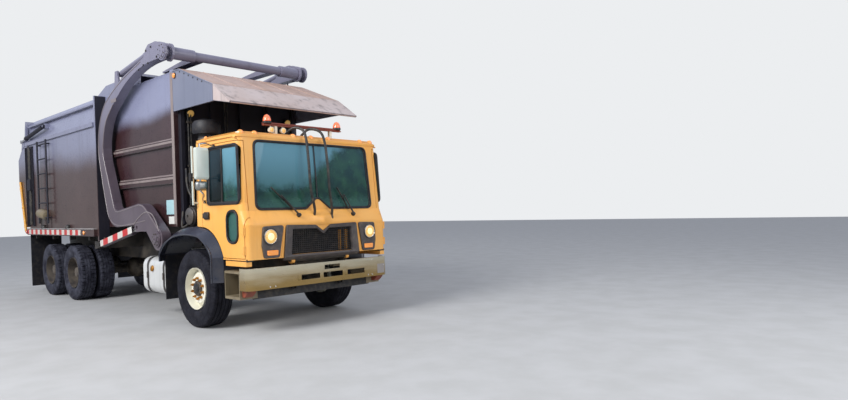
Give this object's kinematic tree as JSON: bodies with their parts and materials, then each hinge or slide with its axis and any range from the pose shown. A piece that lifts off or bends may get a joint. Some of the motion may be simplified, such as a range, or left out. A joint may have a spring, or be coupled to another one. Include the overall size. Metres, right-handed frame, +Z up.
{
  "type": "garbage truck",
  "caption": "Front-loading refuse truck: lift arms and forks tip containers over the cab into a hopper with a packing blade, load body and tailgate.",
  "frame": {"origin": "on the ground, under the middle of the truck's length and width", "axes": "+X forward, +Y to the truck's left, +Z up"},
  "size_m": [9.456, 3.11, 4.1398],
  "materials": {
    "cab_paint": "orange-tan gloss paint, sun worn, with dirt at the seams",
    "body_paint": "dark brown gloss paint, dusty and scuffed",
    "canopy_paint": "tan paint worn to rust on the top plates",
    "frame_black": "black chassis paint with road dust",
    "bumper_chrome": "tarnished chrome plate",
    "tank_metal": "brushed aluminium with dark straps",
    "window_glass": "clear flat glass, slightly dark",
    "tyre_rubber": "worn black rubber with dust",
    "wheel_cream": "cream wheel paint with rust at the studs",
    "wheel_dark": "dark dusty wheel paint",
    "seat_vinyl": "black seat vinyl",
    "plastic_black": "matte black plastic",
    "rod_chrome": "polished ram rods",
    "ram_paint": "dark ram paint, oily",
    "lamp_lens": "orange and clear lamp lenses",
    "step_grey": "light grey paint, scuffed",
    "cast_block": "oily cast iron",
    "fender_black": "black gloss paint with a bluish sheen"
  },
  "bodies": {
    "chassis": {"frame_rails": "frame_black", "front_axle": "frame_black", "front_springs": "frame_black", "rear_axles": "frame_black", "walking_beams": "frame_black", "subframe": "frame_black", "arm_pivot_mounts": "frame_black", "mud_flaps": "plastic_black", "bumper": "bumper_chrome", "step_boxes": "step_grey", "front_fenders": "fender_black", "fuel_tank": "tank_metal", "battery_box": "frame_black", "engine_block": "cast_block", "air_intake": "plastic_black", "hopper": "body_paint", "load_body": "body_paint", "side_ledges": "body_paint", "ladder": "body_paint", "canopy": "canopy_paint"},
    "cab": {"cab_shell": "cab_paint", "cab_roof": "cab_paint", "cab_glass": "window_glass", "grille": "plastic_black", "headlamps": "step_grey", "roof_lamps": "lamp_lens", "seats": "seat_vinyl", "dashboard": "plastic_black", "grab_rails": "wheel_cream"},
    "right_door": {"door_right": "cab_paint", "door_glass_right": "window_glass", "mirror_right": "step_grey"},
    "left_door": {"door_left": "cab_paint", "door_glass_left": "window_glass", "mirror_left": "step_grey"},
    "right_knuckle": {"knuckle_right": "frame_black"},
    "left_knuckle": {"knuckle_left": "frame_black"},
    "right_front_wheel": {"front_wheel_right": "wheel_cream", "front_tyre_right": "tyre_rubber"},
    "left_front_wheel": {"front_wheel_left": "wheel_cream", "front_tyre_left": "tyre_rubber"},
    "arms": {"lift_arms": "body_paint", "fork_barrels": "ram_paint"},
    "forks": {"fork_frame": "body_paint"},
    "lift_ram_barrels": {"lift_barrels": "ram_paint"},
    "lift_ram_rods": {"lift_rods": "rod_chrome"},
    "fork_ram_rods": {"fork_rods": "rod_chrome"},
    "gate": {"tailgate": "body_paint"},
    "gate_ram_barrels": {"gate_barrels": "ram_paint"},
    "gate_ram_rods": {"gate_rods": "rod_chrome"},
    "packer": {"packer_blade": "body_paint"},
    "left_rear_wheels_1": {"rear_wheels_1_left": "wheel_dark", "rear_tyres_1_left": "tyre_rubber"},
    "right_rear_wheels_1": {"rear_wheels_1_right": "wheel_dark", "rear_tyres_1_right": "tyre_rubber"},
    "left_rear_wheels_2": {"rear_wheels_2_left": "wheel_dark", "rear_tyres_2_left": "tyre_rubber"},
    "right_rear_wheels_2": {"rear_wheels_2_right": "wheel_dark", "rear_tyres_2_right": "tyre_rubber"}
  },
  "joints": [
    {"name": "cab_tilt", "type": "hinge", "parent": "chassis", "child": "cab", "pos_m": [4.6225, 0, 0.93], "axis": [0, 1, 0], "range_deg": [0, 45]},
    {"name": "right_door_hinge", "type": "hinge", "parent": "cab", "child": "right_door", "pos_m": [4.6615, -1.188, 1.7], "axis": [0, 0, 1], "range_deg": [0, 70]},
    {"name": "left_door_hinge", "type": "hinge", "parent": "cab", "child": "left_door", "pos_m": [4.6615, 1.188, 1.7], "axis": [0, 0, -1], "range_deg": [0, 70]},
    {"name": "right_steering", "type": "hinge", "parent": "chassis", "child": "right_knuckle", "pos_m": [3.3725, -0.915, 0.542], "axis": [0, 0, 1], "range_deg": [-30, 30]},
    {"name": "left_steering", "type": "hinge", "parent": "chassis", "child": "left_knuckle", "pos_m": [3.3725, 0.915, 0.542], "axis": [0, 0, 1], "range_deg": [-30, 30]},
    {"name": "right_front_roll", "type": "hinge", "parent": "right_knuckle", "child": "right_front_wheel", "pos_m": [3.3725, -1.0675, 0.542], "axis": [0, 1, 0], "continuous": true},
    {"name": "left_front_roll", "type": "hinge", "parent": "left_knuckle", "child": "left_front_wheel", "pos_m": [3.3725, 1.0675, 0.542], "axis": [0, 1, 0], "continuous": true},
    {"name": "right_rear_roll_1", "type": "hinge", "parent": "chassis", "child": "right_rear_wheels_1", "pos_m": [-1.5075, -1.08, 0.525], "axis": [0, 1, 0], "continuous": true},
    {"name": "left_rear_roll_1", "type": "hinge", "parent": "chassis", "child": "left_rear_wheels_1", "pos_m": [-1.5075, 1.08, 0.525], "axis": [0, 1, 0], "continuous": true},
    {"name": "right_rear_roll_2", "type": "hinge", "parent": "chassis", "child": "right_rear_wheels_2", "pos_m": [-2.8175, -1.08, 0.525], "axis": [0, 1, 0], "continuous": true},
    {"name": "left_rear_roll_2", "type": "hinge", "parent": "chassis", "child": "left_rear_wheels_2", "pos_m": [-2.8175, 1.08, 0.525], "axis": [0, 1, 0], "continuous": true},
    {"name": "arm_lift", "type": "hinge", "parent": "chassis", "child": "arms", "pos_m": [2.3225, 0, 1.22], "axis": [0, -1, 0], "range_deg": [-97, 0]},
    {"name": "fork_tilt", "type": "hinge", "parent": "arms", "child": "forks", "pos_m": [2.6725, 0, 3.955], "axis": [0, -1, 0], "range_deg": [-85, 0]},
    {"name": "lift_ram_swing", "type": "hinge", "parent": "chassis", "child": "lift_ram_barrels", "pos_m": [-0.0225, 0, 1.095], "axis": [0, -1, 0], "range_deg": [0, 7]},
    {"name": "lift_ram_stroke", "type": "slide", "parent": "lift_ram_barrels", "child": "lift_ram_rods", "axis": [0.9834, 0, 0.1816], "range_m": [0, 1.085]},
    {"name": "fork_ram_stroke", "type": "slide", "parent": "arms", "child": "fork_ram_rods", "axis": [0.9927, 0, 0.1208], "range_m": [0, 0.273]},
    {"name": "gate_lift", "type": "hinge", "parent": "chassis", "child": "gate", "pos_m": [-4.0975, 0, 3.8], "axis": [0, 1, 0], "range_deg": [0, 85]},
    {"name": "gate_ram_swing", "type": "hinge", "parent": "chassis", "child": "gate_ram_barrels", "pos_m": [-2.7775, 0, 3.47], "axis": [0, 1, 0], "range_deg": [0, 22.5]},
    {"name": "gate_ram_stroke", "type": "slide", "parent": "gate_ram_barrels", "child": "gate_ram_rods", "axis": [-0.9933, 0, -0.1154], "range_m": [0, 0.36]},
    {"name": "packer_stroke", "type": "slide", "parent": "chassis", "child": "packer", "axis": [-1, 0, 0], "range_m": [0, 2.3]}
  ],
  "couplings": [
    {"joint": "left_steering", "follows": "right_steering", "ratio": 1},
    {"joint": "lift_ram_swing", "follows": "arm_lift", "ratio": -0.0719},
    {"joint": "lift_ram_stroke", "follows": "arm_lift", "m_per_rad": -0.638},
    {"joint": "fork_ram_stroke", "follows": "fork_tilt", "m_per_rad": -0.1838},
    {"joint": "gate_ram_swing", "follows": "gate_lift", "ratio": 0.261},
    {"joint": "gate_ram_stroke", "follows": "gate_lift", "m_per_rad": 0.2414}
  ]
}
